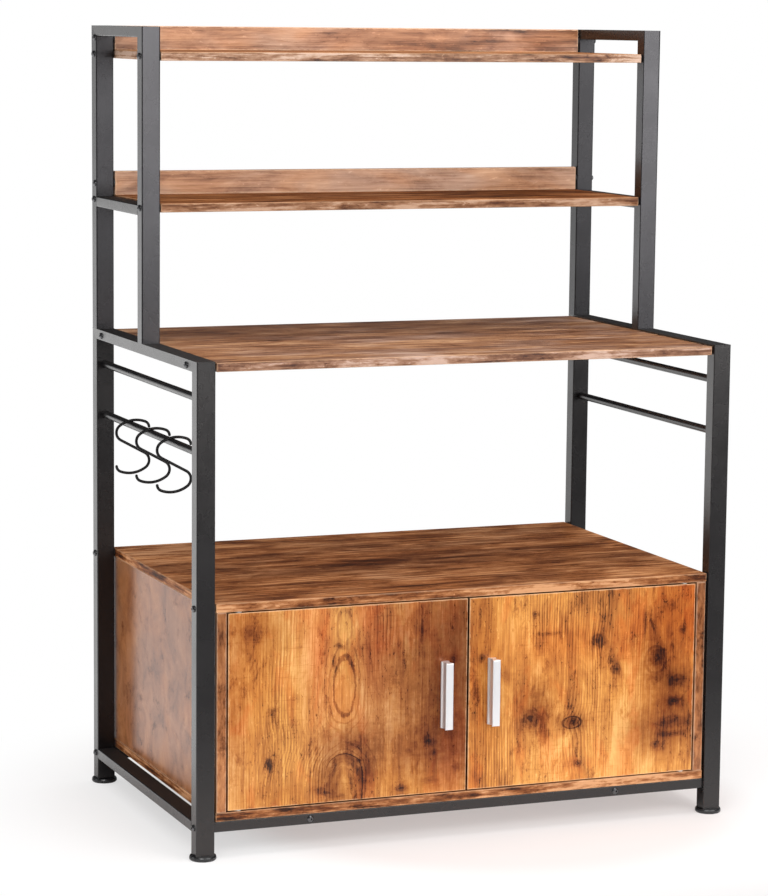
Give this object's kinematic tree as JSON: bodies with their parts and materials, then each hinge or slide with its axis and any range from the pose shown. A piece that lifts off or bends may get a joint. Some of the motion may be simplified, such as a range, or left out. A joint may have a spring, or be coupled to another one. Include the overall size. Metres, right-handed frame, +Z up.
{
  "type": "kitchen rack",
  "caption": "Free-standing kitchen storage rack: steel side frames, counter, open shelves above it, towel rods with wire hooks at the sides, and a low cabinet with hinged doors.",
  "frame": {"origin": "centre of the lower frame's outline on the floor, under the feet", "axes": "+X across the width to the rack's right side as seen from the front, +Y towards the back, +Z up; the doors face -Y"},
  "size_m": [0.9207, 0.5775, 1.265],
  "materials": {
    "frame_coat": "charcoal powder coat, fine texture, satin",
    "board_laminate": "rustic brown wood-look laminate on particleboard, satin",
    "strip_laminate": "rustic brown wood-look laminate, warmer tone, satin",
    "panel_laminate": "paler wood-look laminate on particleboard, satin",
    "door_laminate": "golden brown knotty wood-look laminate, satin",
    "back_board": "thin fibreboard, brown print on one side",
    "beech": "plain turned beech, fluted",
    "handle_metal": "satin anodised",
    "hook_coat": "black, semi-gloss",
    "black_screws": "black zinc, satin",
    "zinc_steel": "bright zinc plated",
    "black_plastic": "moulded, matt",
    "pale_plastic": "moulded, matt",
    "foot_plastic": "moulded, glossy"
  },
  "bodies": {
    "rack": {"left_lower_front_post": "frame_coat", "left_lower_back_post": "frame_coat", "left_counter_rail": "frame_coat", "left_bottom_rail": "frame_coat", "left_upper_towel_rod": "frame_coat", "left_lower_towel_rod": "frame_coat", "left_upper_front_post": "frame_coat", "left_upper_back_post": "frame_coat", "left_top_rail": "frame_coat", "left_shelf_rail": "frame_coat", "left_floor_bar": "frame_coat", "left_side_panel": "panel_laminate", "right_lower_front_post": "frame_coat", "right_lower_back_post": "frame_coat", "right_counter_rail": "frame_coat", "right_bottom_rail": "frame_coat", "right_upper_towel_rod": "frame_coat", "right_lower_towel_rod": "frame_coat", "right_upper_front_post": "frame_coat", "right_upper_back_post": "frame_coat", "right_top_rail": "frame_coat", "right_shelf_rail": "frame_coat", "right_floor_bar": "frame_coat", "right_side_panel": "panel_laminate", "front_cross_rail": "frame_coat", "back_cross_rail": "frame_coat", "counter_board": "board_laminate", "middle_shelf": "board_laminate", "top_shelf": "board_laminate", "middle_back_strip": "strip_laminate", "top_back_strip": "strip_laminate", "cabinet_top_board": "board_laminate", "cabinet_bottom_board": "board_laminate", "cabinet_back_panel": "back_board", "panel_dowels": "beech", "hinge_bushes": "pale_plastic", "magnetic_catches": "black_plastic", "frame_bolts": "black_screws", "barrel_nuts": "zinc_steel", "end_spacers": "black_plastic", "rail_end_nuts": "zinc_steel", "post_spigots": "black_plastic", "foot_sockets": "black_plastic"},
    "left_door": {"left_door": "door_laminate", "left_door_handle": "handle_metal", "left_handle_screws": "zinc_steel", "left_hinge_pins": "zinc_steel", "left_strike_plate": "zinc_steel"},
    "right_door": {"right_door": "door_laminate", "right_door_handle": "handle_metal", "right_handle_screws": "zinc_steel", "right_hinge_pins": "zinc_steel", "right_strike_plate": "zinc_steel"},
    "left_front_foot": {"left_front_foot": "foot_plastic"},
    "left_back_foot": {"left_back_foot": "foot_plastic"},
    "right_front_foot": {"right_front_foot": "foot_plastic"},
    "right_back_foot": {"right_back_foot": "foot_plastic"},
    "front_hook": {"front_hook": "hook_coat"},
    "middle_hook": {"middle_hook": "hook_coat"},
    "back_hook": {"back_hook": "hook_coat"}
  },
  "joints": [
    {"name": "left_door_hinge", "type": "hinge", "parent": "rack", "child": "left_door", "pos_m": [-0.38, -0.264, 0.2288], "axis": [0, 0, -1], "range_deg": [0, 105]},
    {"name": "right_door_hinge", "type": "hinge", "parent": "rack", "child": "right_door", "pos_m": [0.38, -0.264, 0.2288], "axis": [0, 0, 1], "range_deg": [0, 105]},
    {"name": "left_front_foot_screw", "type": "slide", "parent": "rack", "child": "left_front_foot", "axis": [0, 0, -1], "range_m": [0, 0.008]},
    {"name": "left_back_foot_screw", "type": "slide", "parent": "rack", "child": "left_back_foot", "axis": [0, 0, -1], "range_m": [0, 0.008]},
    {"name": "right_front_foot_screw", "type": "slide", "parent": "rack", "child": "right_front_foot", "axis": [0, 0, -1], "range_m": [0, 0.008]},
    {"name": "right_back_foot_screw", "type": "slide", "parent": "rack", "child": "right_back_foot", "axis": [0, 0, -1], "range_m": [0, 0.008]},
    {"name": "front_hook_swing", "type": "hinge", "parent": "rack", "child": "front_hook", "pos_m": [-0.435, -0.118, 0.6263], "axis": [0, 1, 0], "range_deg": [-40, 40]},
    {"name": "middle_hook_swing", "type": "hinge", "parent": "rack", "child": "middle_hook", "pos_m": [-0.435, -0.01, 0.6263], "axis": [0, 1, 0], "range_deg": [-40, 40]},
    {"name": "back_hook_swing", "type": "hinge", "parent": "rack", "child": "back_hook", "pos_m": [-0.435, 0.098, 0.6263], "axis": [0, 1, 0], "range_deg": [-40, 40]}
  ]
}
